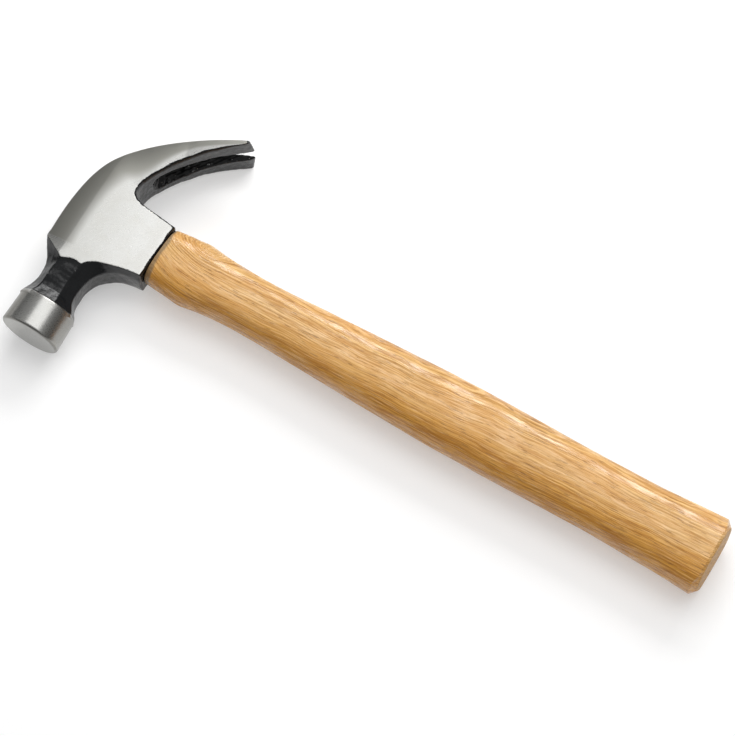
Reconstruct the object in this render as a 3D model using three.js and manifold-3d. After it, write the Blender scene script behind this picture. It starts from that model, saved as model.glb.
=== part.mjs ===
// Curved-claw hammer with a forged steel head and an oak handle, lying on its side.
//
// It is drawn with X along the handle from the top of the head to the butt, Y from the striking
// face to the claw, and Z across the head's width. At the end the whole object is moved so that
// its origin is the centre of its box, at the level of the bench that it lies on. Millimetres.

import * as THREE from 'three';
import { mergeVertices } from 'three/addons/utils/BufferGeometryUtils.js';
import Module from 'manifold-3d';

const wasm = await Module();
wasm.setup();

// ---- driving dimensions -----------------------------------------------------------------

const OVERALL_LENGTH = 330;
const CHEEK_HALF_WIDTH = 12;
const CHEEK_TAPER = 0.062;
const CHEEK_TAPER_START_X = 10;
const CLAW_TIP_HALF_WIDTH = 14.5;
const CROWN_WIDTH = 12;
const CROWN_DROP = 1.9;
const CROWN_AT_TIP = 0.5;
const EDGE_CHAMFER = 0.7;
const FRONT_CHAMFER_Y = 1.5;
const FRONT_CHAMFER_Z = 3.8;

const POLL_X = 16.4;
const FACE_Y = -61.8;
const BELL_BACK_Y = -45.4;
const BELL_FACE_RADIUS = 14.2;
const BELL_BACK_RADIUS = 13.75;
const FACE_CHAMFER = 1.1;
const BELL_SHOULDER = 1.2;

const EYE_Y = -1.9;
const EYE_TOP = [12.2, 8.6];
const EYE_WAIST = [10.6, 6.8];
const EYE_BOTTOM = [11.0, 7.0];
const EYE_WAIST_X = 27;
const EYE_BOTTOM_X = 48.5;

const GAP = 0.3;
const CUT_OVERRUN = 2;
const TENON_END_X = 0.7;
const SHOULDER_X = EYE_BOTTOM_X + GAP;
const BUTT_CHAMFER = 2.9;

// Each wedge's half sizes in y and z at its top and at its point.
const WOOD_WEDGE_LENGTH = 29;
const WOOD_WEDGE_TOP = [11.2, 2.2];
const WOOD_WEDGE_POINT = [9.8, 0.7];
const STEEL_WEDGE_LENGTH = 18;
const STEEL_WEDGE_TOP = [1.2, 6.2];
const STEEL_WEDGE_POINT = [0.3, 5.6];
const STEEL_WEDGE_SPACING = 10;
const KERF_HALF_LENGTH = 15;

// ---- helpers ----------------------------------------------------------------------------

function toSolid(geometry) {
  const bare = geometry.clone();
  bare.deleteAttribute('normal');
  bare.deleteAttribute('uv');
  const merged = mergeVertices(bare, 1e-5);
  const vertProperties = new Float32Array(merged.attributes.position.array);
  const triVerts = new Uint32Array(merged.index.array);
  return new wasm.Manifold(new wasm.Mesh({ numProp: 3, vertProperties, triVerts }));
}

function toGeometry(solid) {
  const mesh = solid.getMesh();
  const geometry = new THREE.BufferGeometry();
  geometry.setAttribute('position', new THREE.BufferAttribute(mesh.vertProperties, 3));
  geometry.setIndex(new THREE.BufferAttribute(mesh.triVerts, 1));
  geometry.computeVertexNormals();
  return geometry;
}

// Moves every vertex of a plain geometry to the place that a function gives for it.
function reshape(geometry, place) {
  const position = geometry.attributes.position;
  const from = new THREE.Vector3();
  for (let i = 0; i < position.count; i += 1) {
    from.fromBufferAttribute(position, i);
    const [x, y, z] = place(from);
    position.setXYZ(i, x, y, z);
  }
  return geometry;
}

const mix = THREE.MathUtils.lerp;
const clamp = THREE.MathUtils.clamp;

function spline(points) {
  return new THREE.SplineCurve(points.map(([x, y]) => new THREE.Vector2(x, y)));
}

// A smooth value that passes through [position, value] pairs in increasing position.
function track(pairs) {
  const curve = spline(pairs);
  const last = pairs.length - 1;
  return (at) => {
    let i = 0;
    while (i < last - 1 && at > pairs[i + 1][0]) i += 1;
    const span = (at - pairs[i][0]) / (pairs[i + 1][0] - pairs[i][0]);
    return curve.getPoint((i + clamp(span, 0, 1)) / last).y;
  };
}

// A cylinder whose rings are put, one each, at the given stations along X. section(station)
// gives [x, centre y, half height in y, half thickness in z, roundness]. A roundness of 2 is an
// ellipse, and more is squarer.
function loftAlongX(stations, section, sides) {
  const rings = stations.length - 1;
  return reshape(new THREE.CylinderGeometry(1, 1, 1, sides, rings), (v) => {
    const [x, y, halfY, halfZ, round] = section(stations[Math.round((0.5 - v.y) * rings)]);
    const angle = Math.atan2(v.x, v.z);
    const reach = Math.min(Math.hypot(v.x, v.z), 1);
    const power = (value) => Math.sign(value) * Math.abs(value) ** (2 / round);
    return [x, y + reach * halfY * power(Math.cos(angle)), -reach * halfZ * power(Math.sin(angle))];
  });
}

function range(from, to, steps) {
  return Array.from({ length: steps + 1 }, (_, i) => mix(from, to, i / steps));
}

// ---- head: cheeks and claw --------------------------------------------------------------

// The outer curve runs over the top of the head and along the back of the claw to its tip.
const outerTop = spline([[0.4, -17.6], [0.0, -7.0], [0.75, 3.0], [2.5, 13.0]]);
const outerTurn = spline([[2.5, 13.0], [4.3, 18.8], [6.4, 24.2]]);
const outerClaw = spline([[6.4, 24.2], [12.1, 32.5], [18.7, 39.1], [26.7, 45.7], [36.1, 52.3],
  [46.6, 58.8], [56.0, 63.4], [58.4, 64.5]]);

// The inner curve is the rim round the eye, the side behind it, the crotch and the claw's
// underside.
const innerRim = spline([[47.9, -16.4], [48.5, 12.0]]);
const innerSide = spline([[48.5, 12.0], [38.0, 13.6], [29.5, 14.7], [24.6, 17.8]]);
const innerClaw = spline([[24.6, 17.8], [24.6, 21.6], [26.4, 26.4], [30.0, 33.4], [34.7, 40.2],
  [39.9, 46.5], [48.3, 54.8], [56.3, 61.3], [58.8, 63.7]]);

const RIM_STEPS = 7;
const SIDE_STEPS = 8;
const CLAW_STEPS = 24;
const BODY_STEPS = RIM_STEPS + SIDE_STEPS + CLAW_STEPS;
const RIM_LENGTH_Y = 28.4;

// The pair of outer and inner points, and how far along the claw it is, from 0 to 1.
function bodyStation(step) {
  if (step <= RIM_STEPS) {
    const front = FRONT_CHAMFER_Y / RIM_LENGTH_Y;
    const t = step === 0 ? 0 : mix(front, 1, (step - 1) / (RIM_STEPS - 1));
    return { outer: outerTop.getPoint(t), inner: innerRim.getPoint(t), claw: 0 };
  }
  if (step <= RIM_STEPS + SIDE_STEPS) {
    const t = (step - RIM_STEPS) / SIDE_STEPS;
    return { outer: outerTurn.getPoint(t), inner: innerSide.getPoint(t), claw: 0 };
  }
  return clawStation((step - RIM_STEPS - SIDE_STEPS) / CLAW_STEPS);
}

function clawStation(claw) {
  return { outer: outerClaw.getPoint(claw), inner: innerClaw.getPoint(claw), claw };
}

// Rows across the side face: the crown along the outer curve, the flat, and the edge chamfer.
const ROWS = 8;
const CROWN_ROWS = 2;

function rowPlace(row, span) {
  const crown = Math.min(CROWN_WIDTH, span / 2) / span;
  const edge = 1 - Math.min(EDGE_CHAMFER, span / 4) / span;
  if (row <= CROWN_ROWS) return (crown * row) / CROWN_ROWS;
  if (row === ROWS) return 1;
  return mix(crown, edge, (row - CROWN_ROWS) / (ROWS - 1 - CROWN_ROWS));
}

// The cheeks come closer together towards the handle, and the claw spreads towards its tips.
const CLAW_TAPER_REACH = 15;

function sideHalfWidth(x, claw) {
  const reach = mix(EYE_BOTTOM_X, CLAW_TAPER_REACH, claw);
  const taper = CHEEK_TAPER * clamp(x - CHEEK_TAPER_START_X, 0, reach);
  return mix(CHEEK_HALF_WIDTH - taper, CLAW_TIP_HALF_WIDTH, claw);
}

function headBody() {
  const box = new THREE.BoxGeometry(1, 1, 1, BODY_STEPS, ROWS, 1);
  return toSolid(reshape(box, (v) => {
    const step = Math.round((v.x + 0.5) * BODY_STEPS);
    const row = Math.round((v.y + 0.5) * ROWS);
    const { outer, inner, claw } = bodyStation(step);
    const span = outer.distanceTo(inner);
    const place = outer.clone().lerp(inner, rowPlace(row, span));
    const crown = CROWN_DROP * mix(1, CROWN_AT_TIP, claw) * Math.max(0, 1 - row / CROWN_ROWS);
    const edge = row === ROWS ? Math.min(EDGE_CHAMFER, span / 4) : 0;
    const front = step === 0 ? FRONT_CHAMFER_Z : 0;
    const half = sideHalfWidth(place.x, claw) - Math.max(crown + edge, front);
    return [place.x, place.y, -Math.sign(v.z) * half];
  }));
}

// The nail slot narrows towards its root, and its walls lean so that it is wider underneath.
const SLOT_STEPS = 20;
const SLOT_ROWS = 4;
const SLOT_ROOT = 0.33;
const SLOT_ROOT_SLANT = 0.12;
const SLOT_ROOT_LENGTH = 0.12;
const SLOT_OVERRUN = 0.6;
const SLOT_BACK_HALF_WIDTH = [1.1, 3.3];
const SLOT_WALL_SLOPE = 0.33;
const SLOT_TIP_OVERRUN = 8;
const SLOT_END_ROUNDING = 0.06;

function nailSlot() {
  const box = new THREE.BoxGeometry(1, 1, 1, SLOT_STEPS, SLOT_ROWS, 1);
  return toSolid(reshape(box, (v) => {
    const along = v.x + 0.5;
    const across = mix(-SLOT_OVERRUN, 1 + SLOT_OVERRUN, v.y + 0.5);
    const start = SLOT_ROOT + SLOT_ROOT_SLANT * (1 - across);
    const claw = mix(start, 1, along);
    const { outer, inner } = clawStation(Math.min(claw, 1));
    const span = outer.distanceTo(inner);
    const place = outer.clone().lerp(inner, across);
    if (along > 0.999) place.add(outerClaw.getTangent(1).multiplyScalar(SLOT_TIP_OVERRUN));
    const root = 1 - Math.min((claw - start) / SLOT_ROOT_LENGTH, 1);
    const rounding = Math.sqrt(Math.max(1 - root * root, SLOT_END_ROUNDING));
    const lean = SLOT_WALL_SLOPE * Math.max(across, 0) * span;
    const half = (mix(...SLOT_BACK_HALF_WIDTH, claw) + lean) * rounding;
    return [place.x, place.y, -Math.sign(v.z) * half];
  }));
}

// ---- head: neck and bell ----------------------------------------------------------------

// Each row is a chamfered rectangle across the poll: its place in y, its two sides in x, its
// half width in z, and the chamfer's size in x and in z.
const NECK_SECTIONS = [
  [-46.0, 3.4, 29.4, 12.9, 7.6, 7.4],
  [-44.2, 3.9, 28.9, 12.4, 7.4, 7.0],
  [-41.5, 5.4, 27.3, 11.0, 6.6, 5.8],
  [-38.0, 6.4, 26.3, 10.2, 5.9, 4.8],
  [-33.5, 6.5, 26.1, 10.1, 5.8, 4.6],
  [-29.0, 5.5, 27.2, 10.9, 6.6, 5.2],
  [-25.5, 3.8, 29.0, 11.7, 8.0, 6.0],
  [-22.5, 2.0, 31.1, 11.5, 7.0, 5.6],
  [-19.8, 0.5, 34.8, 11.0, 5.6, 5.0],
  [-17.8, 0.4, 40.8, 10.2, 4.0, 4.6],
  [-15.5, 0.6, 47.4, 9.0, 2.0, 3.6],
];

function neck() {
  const rings = NECK_SECTIONS.length - 1;
  const corner = Math.PI / 4;
  const octagon = new THREE.CylinderGeometry(1, 1, 1, 8, rings, false, corner / 2);
  return toSolid(reshape(octagon, (v) => {
    const ring = Math.round((v.y + 0.5) * rings);
    const [y, low, high, half, chamferX, chamferZ] = NECK_SECTIONS[ring];
    if (Math.hypot(v.x, v.z) < 0.5) return [(low + high) / 2, y, 0];
    const besideX = Math.abs(v.x) > Math.abs(v.z);
    const side = v.x > 0 ? high : low;
    const inset = besideX ? 0 : chamferX * Math.sign(v.x);
    const depth = besideX ? half - chamferZ : half;
    return [side - inset, y, Math.sign(v.z) * depth];
  }));
}

const BELL_SIDES = 48;

function bell() {
  const profile = [
    [0, FACE_Y],
    [BELL_FACE_RADIUS - FACE_CHAMFER, FACE_Y],
    [BELL_FACE_RADIUS, FACE_Y + FACE_CHAMFER],
    [BELL_BACK_RADIUS, BELL_BACK_Y - BELL_SHOULDER],
    [BELL_BACK_RADIUS - BELL_SHOULDER, BELL_BACK_Y],
    [0, BELL_BACK_Y + CUT_OVERRUN],
  ];
  const outline = profile.map(([radius, y]) => new THREE.Vector2(radius, y));
  const lathe = new THREE.LatheGeometry(outline, BELL_SIDES);
  lathe.translate(POLL_X, 0, 0);
  return toSolid(lathe);
}

// ---- eye and head -----------------------------------------------------------------------

const eyeHalfY = track([[0, EYE_TOP[0]], [EYE_WAIST_X, EYE_WAIST[0]], [EYE_BOTTOM_X, EYE_BOTTOM[0]]]);
const eyeHalfZ = track([[0, EYE_TOP[1]], [EYE_WAIST_X, EYE_WAIST[1]], [EYE_BOTTOM_X, EYE_BOTTOM[1]]]);
const EYE_ROUNDNESS = 2.5;
const EYE_SIDES = 40;
const EYE_RINGS = 9;

function eyeSection(clearance) {
  return (x) => [x, EYE_Y, eyeHalfY(x) - clearance, eyeHalfZ(x) - clearance, EYE_ROUNDNESS];
}

function hammerHead() {
  const stations = range(-CUT_OVERRUN, EYE_BOTTOM_X + CUT_OVERRUN, EYE_RINGS);
  const eye = toSolid(loftAlongX(stations, eyeSection(0), EYE_SIDES));
  return headBody().add(neck()).add(bell()).subtract(eye).subtract(nailSlot());
}

// ---- handle -----------------------------------------------------------------------------

const handleHalfY = track([[SHOULDER_X, 13.85], [57, 14.6], [63.8, 15.35], [66.6, 15.35], [71, 14.75],
  [78, 13.85], [86, 13.3], [95, 13.15], [106, 13.3], [147, 14.95], [200, 16.65], [230, 16.6],
  [262, 16.2], [295, 16.7], [315, 17.6], [OVERALL_LENGTH - BUTT_CHAMFER, 18.2]]);
const handleHalfZ = track([[SHOULDER_X, 9.4], [65, 10.9], [95, 10.7], [147, 11.7], [200, 12.6],
  [262, 12.5], [OVERALL_LENGTH - BUTT_CHAMFER, 13.7]]);
const HANDLE_ROUNDNESS = 2.6;
const HANDLE_SIDES = 40;
const TENON_RINGS = 6;

function handleSection(x) {
  const butt = Math.max(0, x - (OVERALL_LENGTH - BUTT_CHAMFER));
  return [x, 0, handleHalfY(x) - butt, handleHalfZ(x) - butt, HANDLE_ROUNDNESS];
}

// ---- wedges -----------------------------------------------------------------------------

// A wedge driven from the top of the head: half sizes in y and z at its top and at its point.
function wedge(centreY, length, top, point, clearance) {
  const reach = length + clearance;
  return toSolid(reshape(new THREE.BoxGeometry(1, 1, 1), (v) => {
    const end = v.x > 0;
    const [halfY, halfZ] = end ? point : top;
    const x = end ? TENON_END_X + reach : TENON_END_X - (clearance > 0 ? CUT_OVERRUN : 0);
    return [x, centreY + Math.sign(v.y) * (halfY + clearance), Math.sign(v.z) * (halfZ + clearance)];
  }));
}

function woodWedge(clearance) {
  return wedge(EYE_Y, WOOD_WEDGE_LENGTH, WOOD_WEDGE_TOP, WOOD_WEDGE_POINT, clearance);
}

function steelWedge(side, clearance) {
  const centreY = EYE_Y + (side * STEEL_WEDGE_SPACING) / 2;
  return wedge(centreY, STEEL_WEDGE_LENGTH, STEEL_WEDGE_TOP, STEEL_WEDGE_POINT, clearance);
}

// The kerf for the wooden wedge runs right across the tenon.
function kerf() {
  const top = [KERF_HALF_LENGTH, WOOD_WEDGE_TOP[1]];
  const point = [KERF_HALF_LENGTH, WOOD_WEDGE_POINT[1]];
  return wedge(EYE_Y, WOOD_WEDGE_LENGTH, top, point, GAP);
}

function handle() {
  const tenonStations = range(TENON_END_X, SHOULDER_X, TENON_RINGS);
  const gripStations = [SHOULDER_X, 52, 57, 62, 63.8, 66.6, 69, 74, 80, 88, 98, 110, 125, 140, 155,
    170, 185, 200, 215, 230, 246, 262, 278, 294, 306, 317, OVERALL_LENGTH - BUTT_CHAMFER,
    OVERALL_LENGTH];
  const rings = [...tenonStations.map((x) => eyeSection(GAP)(x)), ...gripStations.map(handleSection)];
  return toSolid(loftAlongX(rings, (ring) => ring, HANDLE_SIDES))
    .subtract(kerf())
    .subtract(steelWedge(-1, GAP))
    .subtract(steelWedge(1, GAP));
}

// ---- assembly ---------------------------------------------------------------------------

const steel = { color: 0xb8b6b0, roughness: 0.34, metalness: 1 };
const oak = { color: 0xc98f4e, roughness: 0.35, metalness: 0 };
const paleWood = { color: 0xd8b98a, roughness: 0.6, metalness: 0 };
const darkSteel = { color: 0x5d5c5a, roughness: 0.5, metalness: 1 };

function piece(name, solid, finish) {
  const mesh = new THREE.Mesh(toGeometry(solid), new THREE.MeshStandardMaterial(finish));
  mesh.name = name;
  return mesh;
}

const hammer = new THREE.Group();
hammer.add(piece('hammer_head', hammerHead(), steel));
hammer.add(piece('handle', handle(), oak));
const slottedWedge = woodWedge(0).subtract(steelWedge(-1, GAP)).subtract(steelWedge(1, GAP));
hammer.add(piece('wood_wedge', slottedWedge, paleWood));
hammer.add(piece('steel_wedge_1', steelWedge(-1, 0), darkSteel));
hammer.add(piece('steel_wedge_2', steelWedge(1, 0), darkSteel));

const box = new THREE.Box3().setFromObject(hammer);
const middle = box.getCenter(new THREE.Vector3());
hammer.position.set(-middle.x, -middle.y, -box.min.z);

const group = new THREE.Group();
group.add(hammer);

export default group;
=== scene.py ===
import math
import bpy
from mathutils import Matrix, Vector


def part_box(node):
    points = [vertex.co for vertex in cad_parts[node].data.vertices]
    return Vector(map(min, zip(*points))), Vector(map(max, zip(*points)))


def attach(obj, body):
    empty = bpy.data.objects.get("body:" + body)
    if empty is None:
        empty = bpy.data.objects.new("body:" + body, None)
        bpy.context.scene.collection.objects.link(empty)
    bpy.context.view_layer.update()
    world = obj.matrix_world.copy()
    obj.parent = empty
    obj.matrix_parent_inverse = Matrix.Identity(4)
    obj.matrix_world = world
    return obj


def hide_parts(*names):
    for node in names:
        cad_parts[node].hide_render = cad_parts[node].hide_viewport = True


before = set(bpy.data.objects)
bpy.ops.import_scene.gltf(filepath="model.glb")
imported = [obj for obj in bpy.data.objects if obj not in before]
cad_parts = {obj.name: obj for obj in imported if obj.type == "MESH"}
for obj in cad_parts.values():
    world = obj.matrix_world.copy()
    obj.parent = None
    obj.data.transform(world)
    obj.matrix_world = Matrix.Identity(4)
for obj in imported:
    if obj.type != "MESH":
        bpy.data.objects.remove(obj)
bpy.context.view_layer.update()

# A curved-claw hammer lying on its side: a forged steel head, ground bright on its cheeks, claws
# and striking end and painted gloss black elsewhere, on a lacquered oak handle.
#
# Shapes are worked out in the hammer's own millimetres: X from the top of the head to the butt,
# Y from the striking face to the claw, Z across the head from its middle plane.

from types import SimpleNamespace

import bmesh
import bpy
import numpy as np
from mathutils import Matrix, Vector

MM = 0.001
OVERALL_LENGTH = 330.0
FACE_Y = -61.8


def hammer_origin():
    """Where the hammer's own zero lies in the frame, in millimetres."""
    head_low, head_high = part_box("hammer_head")
    handle_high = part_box("handle")[1]
    return np.array([handle_high.x / MM - OVERALL_LENGTH, head_low.y / MM - FACE_Y,
                     (head_low.z + head_high.z) / 2 / MM])


ORIGIN = hammer_origin()


def to_frame(points):
    """Points in the hammer's millimetres, as metres in the frame."""
    return (np.asarray(points, float) + ORIGIN) * MM


# ---- curves ----


def spline(knots, values):
    """A smooth curve through the values at the knots, as a function of the place along it."""
    knots = np.asarray(knots, float)
    values = np.asarray(values, float)
    step = np.diff(knots)
    matrix = np.eye(len(knots))
    right = np.zeros_like(values)
    for i in range(1, len(knots) - 1):
        matrix[i, i - 1:i + 2] = step[i - 1], 2 * (step[i - 1] + step[i]), step[i]
        rise = (values[i + 1] - values[i]) / step[i] - (values[i] - values[i - 1]) / step[i - 1]
        right[i] = 6 * rise
    bend = np.linalg.solve(matrix, right)

    def at(place):
        place = np.clip(np.asarray(place, float), knots[0], knots[-1])
        i = np.clip(np.searchsorted(knots, place, side="right") - 1, 0, len(knots) - 2)
        span = step[i]
        b = (place - knots[i]) / span
        if values.ndim > 1:
            b, span = b[..., None], span[..., None]
        a = 1 - b
        swing = ((a ** 3 - a) * bend[i] + (b ** 3 - b) * bend[i + 1]) * span ** 2 / 6
        return a * values[i] + b * values[i + 1] + swing

    return at


def track(pairs):
    """A smooth value that passes through [place, value] pairs."""
    places, values = zip(*pairs)
    return spline(places, values)


def drawn(points, count):
    """A smooth line through points in the plane, as so many points."""
    points = np.array(points, float)
    along = np.concatenate([[0], np.cumsum(np.linalg.norm(np.diff(points, axis=0), axis=1))])
    return spline(along, points)(np.linspace(0, along[-1], count))


def smooth(value, low, high):
    """Zero below the low value, one above the high one, and eased between them."""
    t = np.clip((value - low) / (high - low), 0, 1)
    return t * t * (3 - 2 * t)


def mix(a, b, share):
    """From a to b, by a share of the way."""
    return a + (b - a) * share


def nearest(points, line):
    """How far each point is from a line, and how far along the line its nearest place is."""
    edges = np.diff(line, axis=0)
    lengths = np.linalg.norm(edges, axis=1)
    starts = np.concatenate([[0], np.cumsum(lengths)])
    best = np.full(len(points), np.inf)
    where = np.zeros(len(points))
    for start, edge, length, along in zip(line, edges, lengths, starts):
        t = np.clip(((points - start) @ edge) / length ** 2, 0, 1)
        gap = points - start - t[:, None] * edge
        far = np.hypot(gap[:, 0], gap[:, 1])
        closer = far < best
        best[closer] = far[closer]
        where[closer] = (along + t * length)[closer]
    return best, where / starts[-1]


def inside(points, ring):
    """Whether each point is inside a closed ring of points."""
    result = np.zeros(len(points), bool)
    x, y = points.T
    for (ax, ay), (bx, by) in zip(ring, np.roll(ring, -1, axis=0)):
        if ay == by:
            continue
        crosses = ((ay > y) != (by > y)) & (x < (bx - ax) * (y - ay) / (by - ay) + ax)
        result ^= crosses
    return result


def signed_side(points, line, corners):
    """How far each point is outside a line closed by corners, below zero inside, and how far
    along the line its nearest place is."""
    far, along = nearest(points, line)
    return np.where(inside(points, np.vstack([line, corners])), -far, far), along


def ripple(x, y, z, size, seed, waves=6):
    """A smooth wandering value of about -1 to 1, with the given wavelength."""
    rng = np.random.default_rng(seed)
    total = 0.0
    for _ in range(waves):
        way = rng.normal(size=3)
        way *= rng.uniform(0.7, 1.5) * 2 * math.pi / (size * np.linalg.norm(way))
        total = total + np.sin(way[0] * x + way[1] * y + way[2] * z + rng.uniform(0, 2 * math.pi))
    return total / math.sqrt(waves)


# ---- head: outlines in its middle plane ----

OUTER = [[0.35, -17.6], [0.12, -7.0], [0.55, 3.1], [1.95, 13.15], [5.8, 24.7], [11.6, 33.1],
         [18.2, 39.75], [26.3, 46.2], [35.85, 52.65], [46.6, 58.8], [56.1, 63.4], [58.3, 64.35]]
INNER = [[48.2, 12.4], [38.0, 13.7], [29.5, 14.8], [24.6, 17.8], [24.6, 21.6], [26.4, 26.4],
         [30.0, 33.4], [34.7, 40.2], [39.9, 46.5], [48.3, 54.8], [56.3, 61.3], [58.8, 63.7]]
RIM_FRONT = [46.9, -15.3]
RIM_X = 46.6
HEAD_TOP_X = 0.04
OUTLINE_STEPS = 150
NECK_LEFT = [[2.6, -48.0], [3.9, -44.4], [5.4, -41.5], [6.3, -38.0], [6.3, -32.0], [4.7, -27.0],
             [2.0, -22.5], [0.45, -18.8], [0.3, -15.0], [0.8, -9.0]]
NECK_RIGHT = [[30.2, -48.0], [28.6, -44.4], [27.0, -41.5], [26.1, -37.5], [26.0, -33.5],
              [27.1, -28.2], [29.3, -23.9], [32.6, -20.6], [36.9, -18.2], [42.2, -16.9],
              [48.4, -16.2], [56.0, -15.8]]
# What closes each of the neck's outlines around its solid side, well outside the head.
NECK_LEFT_CORNERS = [[90, -9], [90, -48]]
NECK_RIGHT_CORNERS = [[56, 60], [-30, 60], [-30, -48]]

# The outline points at which the claw starts, and how many places its middle line has.
CLAW_START_OUTER = 4
CLAW_START_INNER = 3
CLAW_STEPS = 90
CLAW_FINE_STEPS = 600
CLAW_SPREAD_DELAY = 0.12
CLAW_TIP_HALF_WIDTH = 14.5

CHEEK_HALF_WIDTH = 12.0
CHEEK_TAPER = 0.062
CHEEK_TAPER_START = 10.0
CHEEK_TAPER_REACH = (48.5, 15.0)
CROWN_RISE = 0.19
CROWN_POWER = 2.2
LIP_X = 48.3
LIP_WIDTH = 3.2
LIP_DEPTH = 0.22
FORGED_ROUNDING = 2.0
CLAW_ROUNDING = 2.5
POLL_X = 16.4
NECK_SLANT = (-1.3, 3.0)
NECK_ENDS_Y = (-47.0, -11.0)
BELL_BACK_Y = -45.4
BELL_FACE_RADIUS = 14.42
BELL_BACK_RADIUS = 13.75
FACE_CHAMFER = 1.0
FACE_CROWN = 0.25
EYE_Y = -1.9
EYE_ROUNDNESS = 2.5

# How softly the ground edges, the face's edges, the neck's and those of the holes are broken.
GROUND_EDGE = 0.06
FACE_EDGE = 0.07
NECK_EDGE = 0.16
HOLE_EDGE = 0.14

crown_width = track([[0, 14.3], [0.15, 14.5], [0.29, 11.0], [0.44, 6.8], [0.6, 4.3], [0.79, 3.2],
                     [1, 2.2]])
eye_half_y = track([[0, 12.2], [27, 10.6], [48.5, 11.0]])
eye_half_z = track([[0, 8.6], [27, 6.8], [48.5, 7.0]])

# The neck's flat, and its bevels: where each starts on the side, and how deep in from the side
# and how high it meets the flat or the cheek. Each is a function of the place along the poll.
neck_flat = track([[-48, 13.3], [-46, 12.4], [-44.2, 11.7], [-42.3, 10.95], [-40.6, 10.35],
                   [-39, 10.12], [-37, 10.2], [-34, 10.45], [-31, 10.7], [-28.5, 10.9],
                   [-26.5, 11.1], [-25, 11.5], [-23.9, 12.1], [-22.5, 13.2], [-20, 15.5]])
left_start = track([[-46, 5.6], [-38, 5.4], [-30, 5.6], [-26, 6.2], [-22, 8.0], [-18, 10.8],
                    [-14, 12.0]])
left_depth = track([[-46, 5.2], [-38, 4.4], [-33, 4.5], [-29.5, 5.6], [-26, 7.0], [-24, 5.3],
                    [-22.5, 3.9], [-19.8, 2.3], [-18, 0.9], [-15, 0.5]])
right_start = track([[0, 5.6], [0.3, 5.5], [0.42, 5.8], [0.55, 6.2], [0.72, 5.6], [0.85, 4.2],
                     [1, 3.6]])
right_depth = track([[0, 6.4], [0.24, 5.8], [0.36, 6.1], [0.43, 6.4], [0.48, 5.0], [0.53, 3.5],
                     [0.61, 1.9], [0.7, 1.4], [0.85, 1.0], [1, 0.9]])

FIELD_STEP = 0.2
FIELD_LOW = np.array([-3.0, -49.0])
FIELD_HIGH = np.array([63.0, 68.0])
TIP_WAY = np.array([0.83, 0.56])
TIP_REACH = 84.5
TIP_SLANT = 0.16
TIP_ROUNDING = 1.3

# Where paint covers the metal: this near the claws' tips, and toward the face from these places.
TIP_PAINT = 1.5
NECK_PAINT_Y = -30
BACK_PAINT_Y = -17.4

SLOT_ROOT = 0.18
SLOT_ROOT_SLANT = 0.2
SLOT_END_LENGTH = 6.0
SLOT_BACK_HALF_WIDTH = (1.1, 3.3)
SLOT_WALL_SLOPE = 0.33
SLOT_REACH = 14
FAR_FROM_SLOT = -20.0


def head_outlines():
    """Lines for the head's outer curve, inner curve, whole ring, and the middle of its claw."""
    outer = drawn(OUTER, OUTLINE_STEPS)
    inner = drawn(INNER, OUTLINE_STEPS)
    inner_from_rim = np.vstack([[RIM_FRONT], inner])
    ring = np.vstack([outer, inner[::-1], [RIM_FRONT]])
    middle = (claw_part(OUTER, CLAW_START_OUTER) + claw_part(INNER, CLAW_START_INNER)) / 2
    return outer, inner_from_rim, ring, middle


def claw_part(outline, start):
    """The stretch of an outline along the claw, from its point of that number, in even steps."""
    line = drawn(outline, CLAW_FINE_STEPS)
    first = np.argmin(np.linalg.norm(line - np.array(outline[start]), axis=1))
    return line[np.linspace(first, len(line) - 1, CLAW_STEPS).astype(int)]


def plane_fields():
    """What depends on x and y only, on a fine grid over the middle plane, and its names."""
    xs = np.arange(FIELD_LOW[0], FIELD_HIGH[0] + FIELD_STEP, FIELD_STEP)
    ys = np.arange(FIELD_LOW[1], FIELD_HIGH[1] + FIELD_STEP, FIELD_STEP)
    grid = np.stack(np.meshgrid(xs, ys, indexing="ij"), -1).reshape(-1, 2)
    values, claw_length = outline_fields(grid)
    values["side"], values["crown"] = side_fields(grid[:, 0], values["claw"], values["outer"])
    values.update(neck_fields(grid, values["side"]))
    values["slot"], values["slot_end"] = slot_fields(values, claw_length)
    stack = np.stack(list(values.values()), -1)
    return stack.reshape(len(xs), len(ys), len(values)), tuple(values)


def outline_fields(grid):
    """How far each place is from the outlines and along the claw, and the claw's length."""
    outer_line, inner_line, ring, claw_line = head_outlines()
    front_line, tip_line = np.array([RIM_FRONT, OUTER[0]]), np.array([INNER[-1], OUTER[-1]])
    outer, inner, front, tip = (nearest(grid, line)[0]
                                for line in (outer_line, inner_line, front_line, tip_line))
    edge = np.minimum.reduce([outer, inner, front, tip])
    body = np.where(inside(grid, ring), -edge, edge)
    off_claw, claw = nearest(grid, claw_line)
    values = dict(body=body, outer=outer, inner=inner, claw=claw, off_claw=off_claw)
    return values, np.linalg.norm(np.diff(claw_line, axis=0), axis=1).sum()


def side_fields(x, claw, outer):
    """Half the head's thickness, and how far up the crown along the outer curve a place is."""
    spread = claw ** 2 / (claw + CLAW_SPREAD_DELAY) * (1 + CLAW_SPREAD_DELAY)
    reach = mix(*CHEEK_TAPER_REACH, np.sqrt(claw))
    taper = CHEEK_TAPER * np.clip(x - CHEEK_TAPER_START, 0, reach)
    half = mix(CHEEK_HALF_WIDTH - taper, CLAW_TIP_HALF_WIDTH, spread)
    width = crown_width(claw)
    crown = np.clip(1 - outer / width, 0, 1)
    bulge = CROWN_RISE * width * crown ** CROWN_POWER
    lip = np.clip(1 - (LIP_X - x) / LIP_WIDTH, 0, 1) ** 2 * LIP_DEPTH * (claw <= 0)
    return half - bulge - lip, crown


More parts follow.
